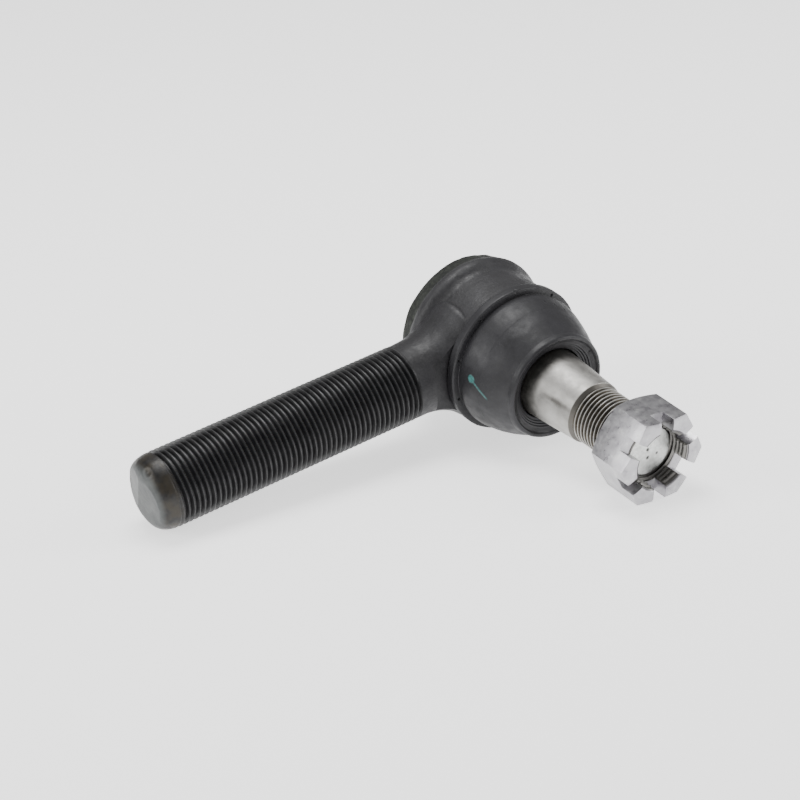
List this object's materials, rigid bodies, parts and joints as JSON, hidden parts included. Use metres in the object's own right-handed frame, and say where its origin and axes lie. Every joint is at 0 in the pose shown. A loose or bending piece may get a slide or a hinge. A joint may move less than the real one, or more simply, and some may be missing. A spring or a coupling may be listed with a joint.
{
  "type": "tie rod end",
  "caption": "Steering ball joint: a threaded shank on a forged eye that holds a tapered ball stud in a rubber boot, with a slotted nut.",
  "frame": {"origin": "centre of the ball, on the axes of the shank and the stud", "axes": "the shank runs along -X, the stud along -Y towards its nut, +Z is square to both"},
  "size_m": [0.1824, 0.132, 0.0596],
  "materials": {
    "forging_black": "satin black over a forged surface",
    "bearing_steel": "ground and greased",
    "spring_steel": "oiled spring steel",
    "cover_black": "satin black",
    "seal_rubber": "matt",
    "plated_steel": "zinc plated",
    "boot_rubber": "moulded, satin",
    "stud_steel": "turned and lightly oiled",
    "nut_zinc": "bright zinc plate"
  },
  "bodies": {
    "housing": {"socket_housing": "forging_black", "upper_bearing_seat": "bearing_steel", "preload_spring": "spring_steel", "end_cover": "cover_black", "cover_seal_ring": "seal_rubber", "grease_fitting_body": "plated_steel", "grease_fitting_spring": "spring_steel", "boot_flange_insert": "plated_steel"},
    "boot": {"boot": "boot_rubber"},
    "boot_mouth": {"boot_mouth_ring": "spring_steel"},
    "stud": {"ball_stud": "stud_steel"},
    "nut": {"castle_nut": "nut_zinc"},
    "pressure_seat": {"pressure_seat": "bearing_steel"},
    "grease_ball": {"grease_fitting_ball": "bearing_steel"}
  },
  "joints": [
    {"name": "stud_tilt_x", "type": "hinge", "parent": "housing", "child": "boot", "pos_m": [0, 0, 0], "axis": [1, 0, 0], "range_deg": [-18, 18], "deforming": ["boot"]},
    {"name": "stud_tilt_z", "type": "hinge", "parent": "boot", "child": "boot_mouth", "pos_m": [0, 0, 0], "axis": [0, 0, 1], "range_deg": [-18, 18], "deforming": ["boot"]},
    {"name": "stud_spin", "type": "hinge", "parent": "boot_mouth", "child": "stud", "pos_m": [0, 0, 0], "axis": [0, -1, 0], "continuous": true},
    {"name": "nut_travel", "type": "slide", "parent": "stud", "child": "nut", "axis": [0, -1, 0], "range_m": [-0.01633, 0.0127]},
    {"name": "seat_travel", "type": "slide", "parent": "housing", "child": "pressure_seat", "axis": [0, 1, 0], "range_m": [0, 0.0008], "stiffness_N_per_m": 400000, "springref_m": -0.0005, "deforming": ["preload_spring"]},
    {"name": "grease_ball_travel", "type": "slide", "parent": "housing", "child": "grease_ball", "axis": [0, -1, 0], "range_m": [0, 0.001], "stiffness_N_per_m": 300, "springref_m": -0.001, "deforming": ["grease_fitting_spring"]}
  ]
}
